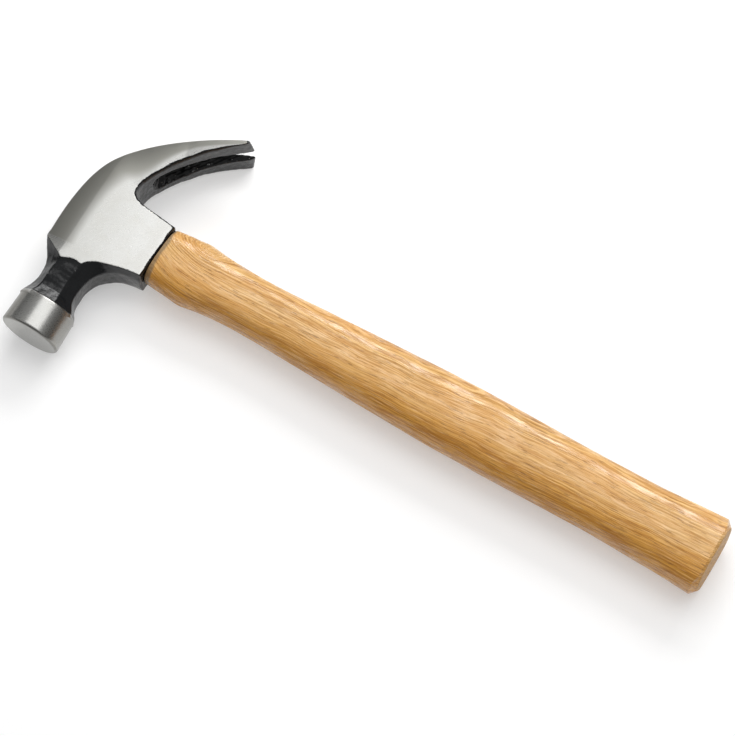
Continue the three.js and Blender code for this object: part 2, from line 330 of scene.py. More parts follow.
def neck_fields(grid, side):
    """How far each place is outside the neck's two outlines, and the bevels over them."""
    x, y = grid.T
    left, _ = signed_side(grid, drawn(NECK_LEFT, 120), NECK_LEFT_CORNERS)
    right, along = signed_side(grid, drawn(NECK_RIGHT, 140), NECK_RIGHT_CORNERS)
    height = flat_height(x, y)
    left_lean, left_rest = bevel(left, left_start(y), left_depth(y),
                                 np.minimum(height, CHEEK_HALF_WIDTH))
    right_lean, right_rest = bevel(right, right_start(along), right_depth(along),
                                   np.minimum(height, side))
    return dict(left=left, right=right, left_lean=left_lean, left_rest=left_rest,
                right_lean=right_lean, right_rest=right_rest)


def slot_fields(c, claw_length):
    """Half the nail slot's width, and how far along the claw a place is past the slot's end."""
    across = c["outer"] / np.maximum(c["outer"] + c["inner"], 1e-6)
    root = SLOT_ROOT + SLOT_ROOT_SLANT * (1 - across)
    off_slot = (c["claw"] <= 0) | (c["off_claw"] > SLOT_REACH)
    slot_end = np.where(off_slot, FAR_FROM_SLOT, (c["claw"] - root) * claw_length)
    outside = np.where(c["outer"] < c["inner"], -c["outer"], c["outer"])
    depth = np.where(c["body"] < 0, c["outer"], outside)
    slot = mix(*SLOT_BACK_HALF_WIDTH, c["claw"]) + SLOT_WALL_SLOPE * np.maximum(depth, 0)
    return slot, slot_end


def flat_height(x, y):
    """Half the thickness at the neck's flats, which run up into the cheek at a slant."""
    slant = mix(*NECK_SLANT, smooth(-x, -19, -7))
    return neck_flat(y + slant * smooth(y, -40, -34))


def bevel(side, start, depth, height):
    """A bevel's surface as lean * |z| + rest = 0."""
    rise = np.maximum(height - start, 0.5)
    length = np.hypot(depth, rise)
    return depth / length, (side * rise - start * depth) / length


PLANE, FIELDS = plane_fields()


def columns(x, y):
    """The plane fields at points, by name. The shapes below are given them as c."""
    u = np.clip((x - FIELD_LOW[0]) / FIELD_STEP, 0, PLANE.shape[0] - 1.001)
    v = np.clip((y - FIELD_LOW[1]) / FIELD_STEP, 0, PLANE.shape[1] - 1.001)
    i, j = u.astype(int), v.astype(int)
    fu, fv = (u - i)[..., None], (v - j)[..., None]
    found = ((PLANE[i, j] * (1 - fv) + PLANE[i, j + 1] * fv) * (1 - fu)
             + (PLANE[i + 1, j] * (1 - fv) + PLANE[i + 1, j + 1] * fv) * fu)
    return {name: found[..., k] for k, name in enumerate(FIELDS)}


# ---- head: its surface, as the zero of a function ----


def both(a, b, radius):
    """Inside both shapes, with the edge between them rounded."""
    rounded = np.hypot(np.maximum(a + radius, 0), np.maximum(b + radius, 0))
    return np.minimum(np.maximum(a, b), -radius) + rounded


def all_of(shapes, softness):
    """Inside every shape, with the edges between them broken softly."""
    top = shapes[0]
    for shape in shapes[1:]:
        top = np.maximum(top, shape)
    total = sum(np.exp((shape - top) / softness) for shape in shapes)
    return top + softness * np.log(total)


def either(a, b, blend):
    """Inside either shape, with a fillet where they meet."""
    h = np.maximum(blend - np.abs(a - b), 0) / blend
    return np.minimum(a, b) - h * h * blend / 4


def neck_shape(c, x, y, z):
    """The eight-sided neck between the bell and the cheeks."""
    height = np.abs(z)
    left_bevel = c["left_lean"] * height + c["left_rest"]
    right_bevel = c["right_lean"] * height + c["right_rest"]
    flat = (height - flat_height(x, y)) * 0.95
    low, high = NECK_ENDS_Y
    ends = np.maximum(np.maximum(y - high, low - y), x - RIM_X)
    sides = all_of([c["left"], c["right"], left_bevel, right_bevel, flat], NECK_EDGE)
    return np.maximum(sides, ends)


def bell_shape(x, y, z):
    """The round striking end, its face slightly crowned and chamfered."""
    around = np.hypot(x - POLL_X, z)
    along = (y - FACE_Y) / (BELL_BACK_Y - FACE_Y)
    radius = mix(BELL_FACE_RADIUS, BELL_BACK_RADIUS, np.clip(along, 0, 1))
    wall = around - radius
    crowned_face = FACE_Y + FACE_CROWN * (around / BELL_FACE_RADIUS) ** 2 - y
    chamfer = (wall + FACE_Y - y + FACE_CHAMFER) / math.sqrt(2)
    front = all_of([wall, crowned_face, chamfer], FACE_EDGE)
    return both(front, y - BELL_BACK_Y, 0.9)


def eye_shape(x, y, z):
    """The hole for the handle, narrowest in the middle of the head."""
    half_y, half_z = eye_half_y(x), eye_half_z(x)
    share = np.abs((y - EYE_Y) / half_y) ** EYE_ROUNDNESS + np.abs(z / half_z) ** EYE_ROUNDNESS
    share = share ** (1 / EYE_ROUNDNESS)
    return (share - 1) * np.minimum(half_y, half_z)


def slot_shape(c, z):
    """The tapering slot between the claws, with its rounded inner end."""
    end = np.clip((SLOT_END_LENGTH - c["slot_end"]) / SLOT_END_LENGTH, 0, 4)
    share = np.hypot(np.abs(z) / c["slot"], end)
    return (share - 1) * c["slot"]


def forged_shape(c, x, y, z):
    """The head as forged: its cheeks and claw, and the neck that flares into them."""
    height = np.abs(z)
    skin = 0.10 * ripple(x, y, z, size=9.0, seed=3) + 0.03 * ripple(x, y, z, size=3.1, seed=4)
    rounding = mix(FORGED_ROUNDING, CLAW_ROUNDING, smooth(c["claw"], 0, 0.08))
    rounding = mix(rounding, 1.0, smooth(c["claw"], 0.6, 1.0))
    walls = both(c["body"], height - c["side"] - 0.5, rounding)
    fillet = mix(1.2, 0.3, smooth(x, 38, 45))
    return either(walls, neck_shape(c, x, y, z), fillet) + skin


def outer_shape(c, z):
    """The bright curve over the head's top and the claw's back, with its ground edge."""
    return both(c["body"], np.abs(z) - c["side"] - 0.25, 0.8)


def tip_plane(x, y, z):
    """How far past the slanted end of the claws a place is."""
    return TIP_WAY[0] * x + TIP_WAY[1] * y - TIP_REACH + TIP_SLANT * np.maximum(np.abs(z) - 4, 0)


def head_shape(c, x, y, z):
    """The whole head, below zero inside the steel."""
    ground = np.abs(z) - c["side"] - 6 * smooth(-y, 31, 37)
    near_outer = smooth(c["inner"] - c["outer"], 0.5, 2.5) * smooth(y, -17.5, -16)
    forged = mix(forged_shape(c, x, y, z), outer_shape(c, z), near_outer)
    top = HEAD_TOP_X - x
    solid = all_of([forged, ground, top], GROUND_EDGE)
    solid = both(solid, tip_plane(x, y, z), TIP_ROUNDING)
    solid = either(solid, bell_shape(x, y, z), 0.5)
    rough = 0.11 * ripple(x, y, z, size=3.4, seed=8) + 0.07 * ripple(x, y, z, size=1.9, seed=9)
    rough = rough * smooth(c["slot_end"], -6, 2)
    hollow = np.minimum(eye_shape(x, y, z), slot_shape(c, z) + rough)
    return all_of([solid, -hollow], HOLE_EDGE)


def polish_depth(c, x, y, z):
    """How far inside the bright metal a place on the surface is, below zero on the paint."""
    off_cheek = np.abs(z) - c["side"]
    cheek = np.minimum(off_cheek - forged_shape(c, x, y, z) - 0.05, off_cheek + 0.3)
    cheek = np.where(y < NECK_PAINT_Y, -1.0, cheek)
    back = np.minimum(np.minimum(c["inner"] - c["outer"], y - BACK_PAINT_Y), 3.0)
    bell = BELL_BACK_Y + 0.15 - y
    ground = np.minimum(np.maximum(cheek, back), -TIP_PAINT - tip_plane(x, y, z))
    bright = np.maximum(ground, bell)
    bore = np.minimum(eye_shape(x, y, z), slot_shape(c, z)) - 0.35
    return np.minimum(bright, np.where(c["body"] < 4, bore * 2, 3.0))


# ---- head: its mesh ----

# The grid that the head's surface is found on. Its steps are longer by the middle plane.
GRID_STEP = 0.44
GRID_MIDDLE_STEP = 0.7
GRID_MIDDLE_Z = 7.0
GRID_X = (-0.9, 60.6)
GRID_Y = (-62.6, 66.2)
GRID_TOP_Z = 15.3
CREASE_REACH = 0.28


def head_axes():
    """The grid's places along x, y and z."""
    xs = np.arange(*GRID_X, GRID_STEP)
    ys = np.arange(*GRID_Y, GRID_STEP)
    middle = np.arange(0, GRID_MIDDLE_Z, GRID_MIDDLE_STEP)
    zs = np.concatenate([middle, np.arange(middle[-1] + GRID_STEP, GRID_TOP_Z, GRID_STEP)])
    return xs, ys, np.concatenate([-zs[:0:-1], zs])


def head_grid(xs, ys, zs):
    """The head's shape at every place of a grid."""
    x, y = np.meshgrid(xs, ys, indexing="ij")
    c = {name: value[..., None] for name, value in columns(x, y).items()}
    return head_shape(c, x[..., None], y[..., None], zs[None, None])


# The four cells around an edge of the grid, in turn, by how far each one lies back.
CELLS_AROUND = ((1, 1), (0, 1), (0, 0), (1, 0))


def cell_beside(index, axis, back):
    """One of the four cells around each of some edges that run along an axis."""
    cell = index.copy()
    cell[:, [k for k in range(3) if k != axis]] -= back
    return tuple(cell.T)


def net(values, axes):
    """Points and four-sided faces for the surface where the values on a grid pass zero."""
    solid = values < 0
    shape = tuple(n - 1 for n in values.shape)
    total = np.zeros(shape + (3,))
    count = np.zeros(shape)
    crossings = []
    for axis in range(3):
        low = [slice(None)] * 3
        high = [slice(None)] * 3
        low[axis], high[axis] = slice(0, -1), slice(1, None)
        changed = solid[tuple(low)] != solid[tuple(high)]
        index = np.argwhere(changed)
        a = values[tuple(low)][changed]
        b = values[tuple(high)][changed]
        place = np.stack([axes[k][index[:, k]] for k in range(3)], -1)
        place[:, axis] += a / (a - b) * np.diff(axes[axis])[index[:, axis]]
        for back in CELLS_AROUND:
            cell = cell_beside(index, axis, back)
            np.add.at(total, cell, place)
            np.add.at(count, cell, 1)
        crossings.append((axis, index, a < 0))
    used = count > 0
    number = np.full(shape, -1)
    number[used] = np.arange(used.sum())
    faces = []
    for axis, index, leaves in crossings:
        quad = np.stack([number[cell_beside(index, axis, back)] for back in CELLS_AROUND], -1)
        flip = leaves != (axis != 1)
        quad[flip] = quad[flip][:, ::-1]
        faces.append(quad)
    return total[used] / count[used][:, None], np.vstack(faces)


def shape_at(points):
    """How far outside the head each point is, below zero inside it."""
    x, y, z = points.T
    return head_shape(columns(x, y), x, y, z)


def slope_at(points, reach):
    """The surface function's slope, and how much it curves."""
    centre = shape_at(points)
    slope = np.zeros_like(points)
    curve = np.zeros(len(points))
    for k in range(3):
        shift = np.zeros(3)
        shift[k] = reach
        ahead, behind = shape_at(points + shift), shape_at(points - shift)
        slope[:, k] = (ahead - behind) / (2 * reach)
        curve += (ahead + behind - 2 * centre) / reach ** 2
    return centre, slope, curve


def settle(points, rounds=2):
    """Moves points onto the surface."""
    for _ in range(rounds):
        value, slope, _ = slope_at(points, 0.06)
        size = np.maximum((slope ** 2).sum(1), 0.09)
        step = -value[:, None] * slope / size[:, None]
        length = np.linalg.norm(step, axis=1, keepdims=True)
        points = points + step * np.minimum(1, 0.35 / np.maximum(length, 1e-9))
    return points


def new_mesh(name, points, faces, normals=None):
    """A smooth piece from points in the hammer's millimetres."""
    mesh = bpy.data.meshes.new(name)
    mesh.from_pydata(to_frame(points).tolist(), [], faces)
    mesh.polygons.foreach_set("use_smooth", [True] * len(mesh.polygons))
    if normals is not None:
        mesh.normals_split_custom_set_from_vertices(normals.tolist())
    piece = bpy.data.objects.new(name, mesh)
    bpy.context.scene.collection.objects.link(piece)
    return piece


def add_values(piece, name, values):
    """Stores a value at each of a piece's points, for its material to read."""
    data = piece.data.attributes.new(name, "FLOAT", "POINT")
    data.data.foreach_set("value", np.asarray(values, np.float32))


def make_head():
    """The forged head, with what its material needs to know about each place on it."""
    axes = head_axes()
    points, faces = net(head_grid(*axes), axes)
    points = settle(points)
    _, slope, curve = slope_at(points, CREASE_REACH)
    normals = slope / np.linalg.norm(slope, axis=1, keepdims=True)
    head = new_mesh("steel_head", points, faces.tolist(), normals)
    x, y, z = points.T
    c = columns(x, y)
    add_values(head, "polish", polish_depth(c, x, y, z))
    add_values(head, "sharpness", np.clip(curve, -2, 2))
    add_values(head, "crown", c["crown"] * (y > -18) * (1 + 0.9 * smooth(c["claw"], 0, 0.15)))
    # Painted shade on the striking end's sides and face.
    add_values(head, "flank_shade", bell_painted_shade(x, y, z))
    add_values(head, "slot", smooth(-slot_shape(c, z), -1.2, 0.4))
    return head


def bell_painted_shade(x, y, z):
    """Painted shade on the striking end: darkest on its sides, and less on its face."""
    flank_shade = smooth(-np.abs(z), -13.5, -10) * mix(1.0, 0.6, smooth(x, POLL_X - 6, POLL_X + 6))
    return smooth(-y, 45, 46) * mix(flank_shade, 0.3, smooth(-y, 61, 61.7))


# ---- handle ----

SHOULDER_X = 48.0
SHOULDER_ROUNDING = 0.3
SHOULDER_SLANT = 0.045
BUTT_CHAMFER = 2.9
BUTT_FLAT_CHAMFER = 1.2
TENON_END_X = 0.7
TENON_GAP = 0.3

handle_half_y = track([[SHOULDER_X, 13.85], [57, 14.65], [62, 15.15], [65.2, 15.43], [67, 15.3],
                       [71, 14.7], [78, 13.87], [86, 13.35], [95, 13.15], [106, 13.3],
                       [125, 14.1], [147, 14.95], [175, 16.0], [200, 16.6], [230, 16.6],
                       [262, 16.25], [295, 16.7], [315, 17.6], [330, 18.35]])
handle_half_z = track([[SHOULDER_X, 9.55], [65, 10.9], [95, 10.7], [147, 11.7], [200, 12.6],
                       [262, 12.5], [330, 13.75]])
HANDLE_ROUNDNESS = 2.6
HANDLE_SIDES = 112
CREASE_ANGLE = math.radians(38)


def tenon_rows():
    """Sections of the tenon from its end to the shoulder, as rows for section_rings."""
    rows = [[x, eye_half_y(x) - TENON_GAP, eye_half_z(x) - TENON_GAP]
            for x in np.linspace(TENON_END_X + 0.5, SHOULDER_X - 0.3, 60)]
    rows.insert(0, [TENON_END_X, rows[0][1] - 0.5, rows[0][2] - 0.5])
    rows.append([SHOULDER_X, rows[-1][1] + 0.1, rows[-1][2] + 0.1])
    return [row + [EYE_ROUNDNESS, EYE_Y] for row in rows]


def grip_rows():
    """Sections of the grip from the rounded shoulder to the chamfered butt."""
    start_y, start_z = handle_half_y(SHOULDER_X), handle_half_z(SHOULDER_X)
    rows = [[SHOULDER_X, start_y - 0.9, start_z - 0.7]]
    for turn in np.radians(np.linspace(20, 90, 5)):
        x = SHOULDER_X + SHOULDER_ROUNDING * (1 - math.cos(turn))
        inset = SHOULDER_ROUNDING * (1 - math.sin(turn))
        rows.append([x, start_y - inset, start_z - inset])
    last = OVERALL_LENGTH - BUTT_CHAMFER
    for x in np.arange(SHOULDER_X + 1.2, last - 0.5, 0.8):
        rows.append([x, handle_half_y(x), handle_half_z(x)])
    butt = [(last + BUTT_CHAMFER * share,
             BUTT_CHAMFER * max(share, 0) + 0.12 * max(0.12 - abs(share), 0))
            for share in (-0.12, -0.04, 0.04, 0.12, 0.35, 0.65, 0.88, 0.96)]
    butt += [(OVERALL_LENGTH - 0.04, BUTT_CHAMFER), (OVERALL_LENGTH, BUTT_CHAMFER + 0.35)]
    rows += [[x, handle_half_y(last) - inset, handle_half_z(last) - inset] for x, inset in butt]
    return [row + [HANDLE_ROUNDNESS, 0] for row in rows]


def section_rings(rows, sides):
    """A ring of points for each row: its place along X, half sizes, roundness and middle."""
    angles = np.linspace(0, 2 * math.pi, sides, endpoint=False)
    power = 2 / rows[:, 3:4]
    cos, sin = np.cos(angles)[None], np.sin(angles)[None]
    y = rows[:, 4:5] + rows[:, 1:2] * np.sign(cos) * np.abs(cos) ** power
    z = rows[:, 2:3] * np.sign(sin) * np.abs(sin) ** power
    return np.stack([np.repeat(rows[:, 0:1], sides, axis=1), y, z], -1)


def trimmed_butt(rings):
    """The butt's chamfer, wide along the handle's edges and narrow across its flats."""
    x, y, z = np.moveaxis(rings, -1, 0)
    last = OVERALL_LENGTH - BUTT_CHAMFER
    share = np.clip((x - last) / BUTT_CHAMFER, 0, 1)
    half_y, half_z = handle_half_y(last), handle_half_z(last)
    unit_y, unit_z = y / (half_y - BUTT_CHAMFER * share), z / (half_z - BUTT_CHAMFER * share)
    cut = mix(BUTT_CHAMFER, BUTT_FLAT_CHAMFER, smooth(np.abs(unit_z), 0.5, 0.95))
    moved = np.stack([OVERALL_LENGTH - (OVERALL_LENGTH - x) * cut / BUTT_CHAMFER,
                      unit_y * (half_y - cut * share), unit_z * (half_z - cut * share)], -1)
    return np.where((x > last - 0.36)[..., None], moved, rings)


def slanted(rings):
    """Leans the handle's shoulder to sit along the head's rim."""
    x, y, _ = np.moveaxis(rings, -1, 0)
    near = smooth(x, SHOULDER_X - 6, SHOULDER_X) * smooth(-x, -SHOULDER_X - 12, -SHOULDER_X - 1)
    return rings + (near * SHOULDER_SLANT * y)[..., None] * [1, 0, 0]


def worn(rings):
    """Takes the turned handle's grip slightly out of true."""
    x, y, z = np.moveaxis(rings, -1, 0)
    to_butt = OVERALL_LENGTH - x
    grip = smooth(x, SHOULDER_X + 3, SHOULDER_X + 12) * smooth(to_butt, 6, 14)
    out = rings * [0, 1, 1]
    out /= np.linalg.norm(out, axis=-1, keepdims=True)
    depth = 0.07 * (ripple(x, y, z, size=34.0, seed=12) - 1) * grip
    return rings + out * depth[..., None]


def capped(rings):
    """Faces for a stack of rings, with a fan over each end."""
    count, sides = rings.shape[:2]
    points = np.vstack([rings.reshape(-1, 3), rings[0].mean(0), rings[-1].mean(0)])
    ring = np.arange(sides)
    onward = np.roll(ring, -1)
    faces = []
    for k in range(count - 1):
        a, b = k * sides, (k + 1) * sides
        faces += np.stack([a + ring, a + onward, b + onward, b + ring], -1).tolist()
    first, last = len(points) - 2, len(points) - 1
    faces += [[first, int(j), int(i)] for i, j in zip(ring, onward)]
    end = (count - 1) * sides
    faces += [[last, int(end + i), int(end + j)] for i, j in zip(ring, onward)]
    return points, faces


def face_outward(piece):
    """Turns a closed piece's faces outward."""
    work = bmesh.new()
    work.from_mesh(piece.data)
    bmesh.ops.recalc_face_normals(work, faces=work.faces)
    work.to_mesh(piece.data)
    work.free()


def cut_away(piece, tools):
    """Takes the tools' shapes out of a piece, and removes the tools."""
    for tool in tools:
        cut = piece.modifiers.new("cut", "BOOLEAN")
        cut.operation, cut.solver, cut.object = "DIFFERENCE", "EXACT", tool
    result = piece.evaluated_get(bpy.context.evaluated_depsgraph_get())
    mesh = bpy.data.meshes.new_from_object(result)
    piece.modifiers.clear()
    piece.data = mesh
    for tool in tools:
        bpy.data.objects.remove(tool)
    mesh.set_sharp_from_angle(angle=CREASE_ANGLE)


def solid_from(name, rings):
    """A closed piece from a stack of rings."""
    points, faces = capped(rings)
    piece = new_mesh(name, points, faces)
    face_outward(piece)
    return piece


# Wedges: length, half sizes in y and z at the top, and the same at the point.
WOOD_WEDGE = (29.0, (11.2, 2.2), (9.8, 0.7))
KERF = (29.0, (15.0, 2.2), (15.0, 0.7))
STEEL_WEDGE = (18.0, (1.2, 6.2), (0.3, 5.6))
STEEL_WEDGE_SPACING = 10.0
WEDGE_GAP = 0.06
WEDGE_ROUNDNESS = 9.0


def wedge_row(wedge, x, centre_y, grow=0.0):
    """A wedge's section at a place along it, as a row for section_rings."""
    length, top, point = wedge
    share = (x - TENON_END_X) / length
    return [x, mix(top[0], point[0], share) + grow, mix(top[1], point[1], share) + grow,
            WEDGE_ROUNDNESS, centre_y]


def slot_for(wedge, centre_y):
    """A tool that cuts the place a wedge is driven into."""
    xs = np.linspace(-2.0, TENON_END_X + wedge[0] + 0.1, 8)
    rows = np.array([wedge_row(wedge, x, centre_y, WEDGE_GAP) for x in xs])
    return solid_from("slot_tool", section_rings(rows, 48))


def steel_places():
    """Where the two steel wedges are, along Y."""
    return [EYE_Y + side * STEEL_WEDGE_SPACING / 2 for side in (-1, 1)]


def make_wedge(name, wedge, centre_y, top_x, dent, seed):
    """A driven wedge, its top edge rounded over and its top bruised by the hammer."""
    rows = []
    for share in (0.15, 0.4, 0.65, 0.85):
        x, half_y, half_z, roundness, middle = wedge_row(wedge, top_x, centre_y, -0.2)
        rows.append([x, half_y * share, half_z * share, roundness, middle])
    for drop, inset in ((0.0, 0.2), (0.05, 0.08), (0.2, 0.0)):
        rows.append(wedge_row(wedge, top_x + drop, centre_y, -inset))
    for x in np.linspace(top_x + 1.0, TENON_END_X + wedge[0], 14):
        rows.append(wedge_row(wedge, x, centre_y))
    rings = section_rings(np.array(rows), 72)
    x, y, z = np.moveaxis(rings, -1, 0)
    rings[:, :, 0] += dent * ripple(x, y, z, size=2.6, seed=seed) * (x < top_x + 0.6)
    return solid_from(name, rings)


def make_wood_wedge():
    piece = make_wedge("hardwood_wedge", WOOD_WEDGE, EYE_Y, top_x=0.75, dent=0.06, seed=21)
    cut_away(piece, [slot_for(STEEL_WEDGE, place) for place in steel_places()])
    return piece


def make_handle():
    rows = np.array(tenon_rows() + grip_rows())
    rings = trimmed_butt(section_rings(rows, HANDLE_SIDES))
    rings = slanted(worn(rings))
    handle = solid_from("oak_handle", rings)
    cut_away(handle, [slot_for(KERF, EYE_Y)] + [slot_for(STEEL_WEDGE, y) for y in steel_places()])
    return handle


# ---- materials ----


class Nodes:
    """Short ways to add and join shader nodes."""

    def __init__(self, name):
        self.material = bpy.data.materials.new(name)
        self.material.use_nodes = True
        self.tree = self.material.node_tree
        self.shader = self.tree.nodes["Principled BSDF"]

    def add(self, kind, inputs=None, **settings):
        node = self.tree.nodes.new(kind)
        for key, value in settings.items():
            setattr(node, key, value)
        for key, value in (inputs or {}).items():
            self.put(node.inputs[key], value)
        return node

    def put(self, socket, value):
        """Joins a value to an input, or sets it. A colour is given as three numbers."""
        if isinstance(value, bpy.types.NodeSocket):
            self.tree.links.new(value, socket)
        else:
            socket.default_value = (*value, 1.0) if socket.type == "RGBA" else value

    def math(self, operation, a, b=0.0, c=0.0):
        return self.add("ShaderNodeMath", {0: a, 1: b, 2: c}, operation=operation).outputs[0]

    def times(self, a, b):
        return self.math("MULTIPLY", a, b)

    def value(self, name):
        """A value stored at the mesh's points."""
        return self.add("ShaderNodeAttribute", attribute_name=name).outputs["Fac"]

    def place(self, scale=(1, 1, 1), turn=(0, 0, 0), shift=(0, 0, 0)):
        """Object coordinates in millimetres, turned and then stretched."""
        source = self.add("ShaderNodeTexCoord").outputs["Object"]
        turned = self.add("ShaderNodeMapping", {0: source, "Rotation": turn})
        size = tuple(1000 * s for s in scale)
        return self.add("ShaderNodeMapping", {0: turned.outputs[0], "Scale": size,
                                              "Location": shift}).outputs[0]

    def axes(self):
        """Object coordinates in millimetres, one by one."""
        return self.add("ShaderNodeSeparateXYZ", {0: self.place()}).outputs

    def join(self, x, y, z):
        return self.add("ShaderNodeCombineXYZ", {0: x, 1: y, 2: z}).outputs[0]

    def noise(self, place, scale=1.0, detail=2.0, rough=0.5):
        return self.add("ShaderNodeTexNoise", {"Vector": place, "Scale": scale, "Detail": detail,
                                               "Roughness": rough}).outputs[0]

    def remap(self, value, low, high, to_low=0.0, to_high=1.0, smooth=True):
        kind = "SMOOTHSTEP" if smooth else "LINEAR"
        return self.add("ShaderNodeMapRange", {0: value, 1: low, 2: high, 3: to_low, 4: to_high},
                        interpolation_type=kind).outputs[0]

    def blend(self, share, a, b):
        inputs = {0: share, 6: a, 7: b}
        return self.add("ShaderNodeMix", inputs, data_type="RGBA").outputs[2]

    def blend_value(self, share, a, b):
        inputs = {0: share, 2: a, 3: b}
        return self.add("ShaderNodeMix", inputs, data_type="FLOAT").outputs[0]

    def layers(self, base, *layers):
        """Lays colours over a base, each as far as its value has passed from low to high."""
        for value, low, high, most, tone in layers:
            base = self.blend(self.remap(value, low, high, 0, most), base, tone)
        return base

    def bump(self, height, strength, distance):
        return self.add("ShaderNodeBump", {"Height": height, "Strength": strength,
                                           "Distance": distance}).outputs[0]

    def finish(self, **inputs):
        """Sets the shader's own inputs, and gives the material."""
        for key, value in inputs.items():
            self.put(self.shader.inputs[key.replace("_", " ").title()
                                        if key != "specular" else "Specular IOR Level"], value)
        return self.material


# Where painted shade turns the cheek greyer toward the head's top, in the hammer's own
# millimetres.
CHEEK_SHADE_X = (37.0, 11.0)
# How far behind the face the painted shade on its chamfer starts and ends, each as a soft edge.
CHAMFER_SHADE_START = (0.17, 0.27)
CHAMFER_SHADE_END = (1.05, 0.90)


def steel_colour(n, brushed, cloudy):
    """Bright ground steel, greyer toward the crown, with painted shade greying it toward the top
    and darkening the striking end and the chamfer behind its face.
    """
    steel = n.blend(n.remap(brushed, 0.25, 0.75), (0.52, 0.52, 0.505), (0.60, 0.60, 0.585))
    pits = n.noise(n.place(), scale=1.6, detail=1)
    sparks = n.noise(n.place(shift=(7, 3, 5)), scale=1.5, detail=1)
    steel = n.layers(steel, (cloudy, 0.4, 0.7, 0.4, (0.50, 0.49, 0.455)),
                     (pits, 0.72, 0.78, 0.2, (0.22, 0.21, 0.19)),
                     (sparks, 0.71, 0.76, 0.5, (0.85, 0.85, 0.83)))
    # Painted shade: greyer toward the head's top, over the cheek, the neck and the striking end.
    start, end = (x + ORIGIN[0] for x in CHEEK_SHADE_X)
    shade = n.remap(n.axes()["X"], start, end, 0.1, 0.7, smooth=False)
    steel = n.blend(shade, steel, (0.43, 0.43, 0.41))
    steel = n.layers(steel, (n.value("crown"), 0.0, 0.6, 0.85, (0.35, 0.345, 0.31)))
    edge = n.remap(n.value("sharpness"), 0.6, 1.4)
    stain = n.remap(n.noise(n.place(), scale=0.5, detail=4), 0.52, 0.66, 0, 0.5)
    steel = n.blend(n.times(edge, stain), steel, (0.42, 0.34, 0.20))
    steel = n.blend(n.times(edge, 0.25), steel, (0.70, 0.70, 0.69))
    # Painted shade: the striking end darkened, most on its sides.
    steel = n.blend(n.value("flank_shade"), steel, (0.185, 0.18, 0.165))
    # Painted shade: a dark line on the chamfer just behind the face.
    behind = n.math("SUBTRACT", n.axes()["Y"], FACE_Y + ORIGIN[1])
    chamfer = n.times(n.remap(behind, *CHAMFER_SHADE_START), n.remap(behind, *CHAMFER_SHADE_END))
    return n.blend(n.times(chamfer, 0.75), steel, (0.19, 0.185, 0.17))


def paint_colour(n):
    """Gloss black, with painted shade darkening it inside the nail slot, rubbed through to dull
    steel at some of its edges.
    """
    # Painted shade: the black is darker still inside the nail slot.
    paint = n.blend(n.value("slot"), (0.0065, 0.007, 0.0078), (0.003, 0.003, 0.003))
    chip = n.remap(n.noise(n.place(), scale=0.9, detail=5), 0.60, 0.66)
    worn = n.times(chip, n.remap(n.value("sharpness"), 0.35, 1.2, 0, 0.6))
    return n.blend(worn, paint, (0.20, 0.20, 0.195))


def head_material():
    """Ground bright steel and gloss black paint, told apart by how deep into the bright metal
    each place is."""
    n = Nodes("forged_steel_and_black_paint")
    fine = n.noise(n.place(), scale=1.4, detail=3)
    polish = n.math("ADD", n.value("polish"), n.remap(fine, 0.3, 0.7, -0.06, 0.06, smooth=False))
    bright = n.remap(polish, -0.03, 0.05)
    brushed = n.noise(n.place(scale=(3.2, 0.14, 3.2), turn=(0, 0, math.radians(38))), detail=3,
                      rough=0.7)
    cloudy = n.noise(n.place(), scale=0.12, detail=3)
    steel_rough = n.math("ADD", n.remap(brushed, 0.2, 0.8, 0.24, 0.33, smooth=False),
                         n.remap(n.value("crown"), 0.0, 0.3, 0.0, 0.09))
    orange_peel = n.noise(n.place(), scale=0.55, detail=2)
    drips = n.noise(n.place(scale=(1.3, 0.5, 1.3)), detail=4, rough=0.7)
    paint_rough = n.blend_value(n.value("slot"), n.remap(drips, 0.3, 0.7, 0.13, 0.27), 0.13)
    paint_height = n.math("ADD", n.times(orange_peel, 1.3), n.times(drips, 0.8))
    height = n.blend_value(bright, paint_height, n.times(brushed, 0.10))
    return n.finish(base_color=n.blend(bright, paint_colour(n), steel_colour(n, brushed, cloudy)),
                    metallic=bright, roughness=n.blend_value(bright, paint_rough, steel_rough),
                    specular=0.38, normal=n.bump(height, 0.5, distance=0.00016))


# Oak. The grain lines run along the handle, sweeping aside where the shoulder was shaped.
# These lengths are in the frame's millimetres, measured from the middle of the hammer.

GRAIN_SWEEP = 8.0
GRAIN_SWEEP_FROM = -116.0
GRAIN_SWEEP_LENGTH = 15.0
GRAIN_DRIFT = 0.05
KNOT_X = -97.0
KNOT_Y = 10.0
KNOT_HALF_LENGTH = 6.5
KNOT_HALF_WIDTH = 3.2
KNOT_PUSH = 7.0
# Where painted shade browns the wood toward the handle's -Y side.
SHADED_SIDE_Y = (1.5, -15.0)
BUTT_CUT_X = (164.6, 164.8)
TENON_CUT_X = (-164.0, -164.2)
# Where the wood darkens in a band along the head's rim.
RIM_DARK_BAND_X = (-114.7, -115.9)


